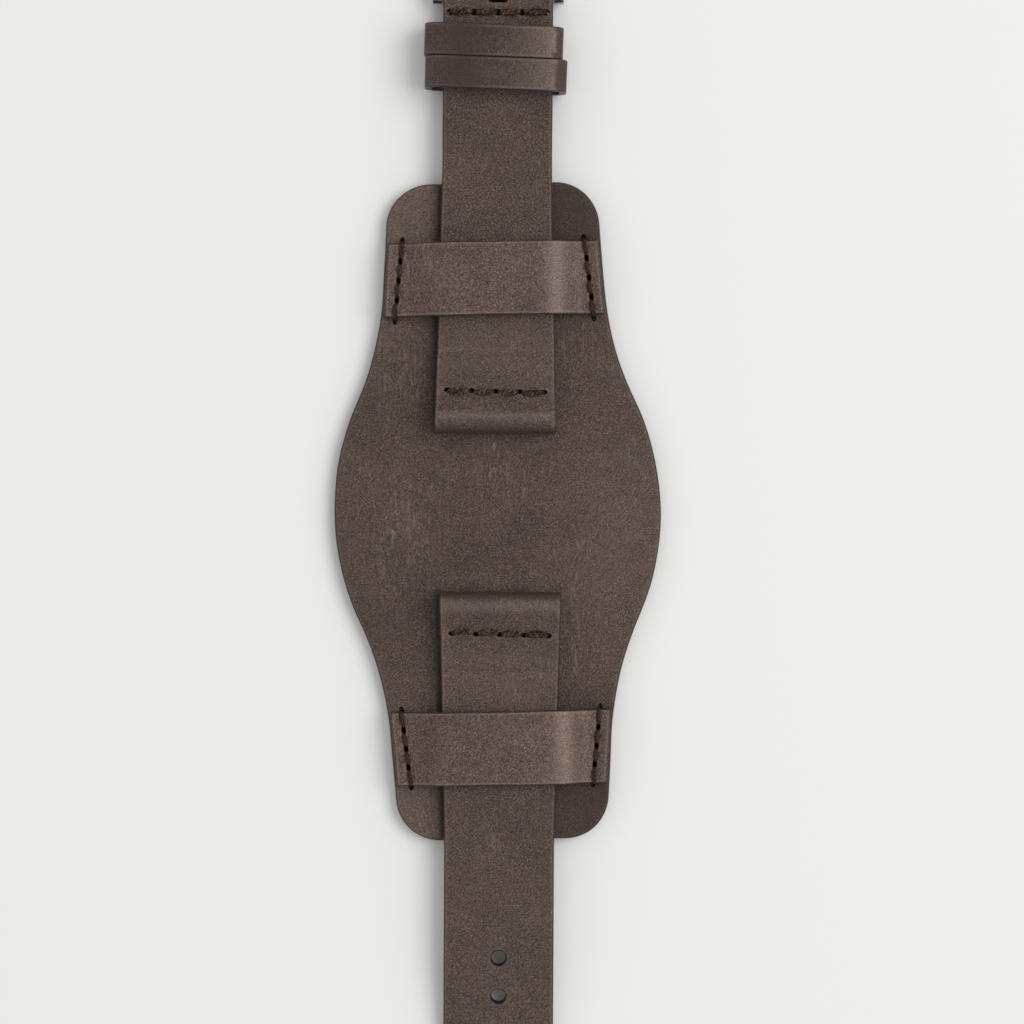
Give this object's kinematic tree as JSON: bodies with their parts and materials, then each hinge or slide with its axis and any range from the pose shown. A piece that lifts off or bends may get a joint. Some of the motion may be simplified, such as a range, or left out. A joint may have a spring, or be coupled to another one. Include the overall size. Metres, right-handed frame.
{
  "type": "bund watch strap",
  "caption": "Leather watch strap with a wide backing pad, sewn bridge bands, a sliding two-piece strap, keeper loops and a pin buckle on a spring bar.",
  "frame": {"origin": "centre of the pad's underside, the face that lies on the wrist", "axes": "+Z away from the wrist, +Y along the strap towards the buckle, +X across the strap"},
  "size_m": [0.0536, 0.2299, 0.0077],
  "materials": {
    "pad_leather": "waxed pull-up leather, mottled",
    "strap_leather": "waxed pull-up leather, burnished edges",
    "band_leather": "waxed pull-up leather, lighter where bent",
    "waxed_thread": "twisted waxed thread",
    "polished_steel": "polished steel",
    "bar_steel": "turned steel"
  },
  "bodies": {
    "pad": {"bund_pad": "pad_leather", "bridge_band_upper": "band_leather", "bridge_band_lower": "band_leather", "bridge_thread_upper_left": "waxed_thread", "bridge_thread_upper_right": "waxed_thread", "bridge_thread_lower_left": "waxed_thread", "bridge_thread_lower_right": "waxed_thread"},
    "buckle_strap": {"buckle_strap": "strap_leather", "lug_thread_buckle_strap": "waxed_thread", "buckle_end_thread": "waxed_thread", "spring_bar_tube": "bar_steel", "spring_bar_spring": "bar_steel"},
    "tail_strap": {"tail_strap": "strap_leather", "lug_thread_tail_strap": "waxed_thread"},
    "keeper_upper": {"keeper_upper": "strap_leather"},
    "keeper_lower": {"keeper_lower": "strap_leather"},
    "buckle_frame": {"buckle_frame": "polished_steel"},
    "buckle_tongue": {"buckle_tongue": "polished_steel"},
    "bar_tip_left": {"spring_bar_tip_left": "bar_steel"},
    "bar_tip_right": {"spring_bar_tip_right": "bar_steel"}
  },
  "joints": [
    {"name": "buckle_strap_slide", "type": "slide", "parent": "pad", "child": "buckle_strap", "axis": [0, 1, 0], "range_m": [-0.006, 0.0064]},
    {"name": "tail_strap_slide", "type": "slide", "parent": "pad", "child": "tail_strap", "axis": [0, -1, 0], "range_m": [-0.0125, 0.0064]},
    {"name": "keeper_upper_slide", "type": "slide", "parent": "buckle_strap", "child": "keeper_upper", "axis": [0, 1, 0], "range_m": [0, 0.0015]},
    {"name": "keeper_lower_slide", "type": "slide", "parent": "buckle_strap", "child": "keeper_lower", "axis": [0, -1, 0], "range_m": [0, 0.008]},
    {"name": "buckle_pivot", "type": "hinge", "parent": "buckle_strap", "child": "buckle_frame", "pos_m": [0, 0.0849, 0.00225], "axis": [1, 0, 0], "range_deg": [-70, 30]},
    {"name": "tongue_pivot", "type": "hinge", "parent": "buckle_frame", "child": "buckle_tongue", "pos_m": [0, 0.0849, 0.00225], "axis": [1, 0, 0], "range_deg": [0, 70]},
    {"name": "bar_tip_left_push", "type": "slide", "parent": "buckle_strap", "child": "bar_tip_left", "axis": [1, 0, 0], "range_m": [0, 0.001], "stiffness_N_per_m": 200, "springref_m": -0.001, "deforming": ["spring_bar_spring"]},
    {"name": "bar_tip_right_push", "type": "slide", "parent": "buckle_strap", "child": "bar_tip_right", "axis": [-1, 0, 0], "range_m": [0, 0.001], "stiffness_N_per_m": 200, "springref_m": -0.001, "deforming": ["spring_bar_spring"]}
  ]
}
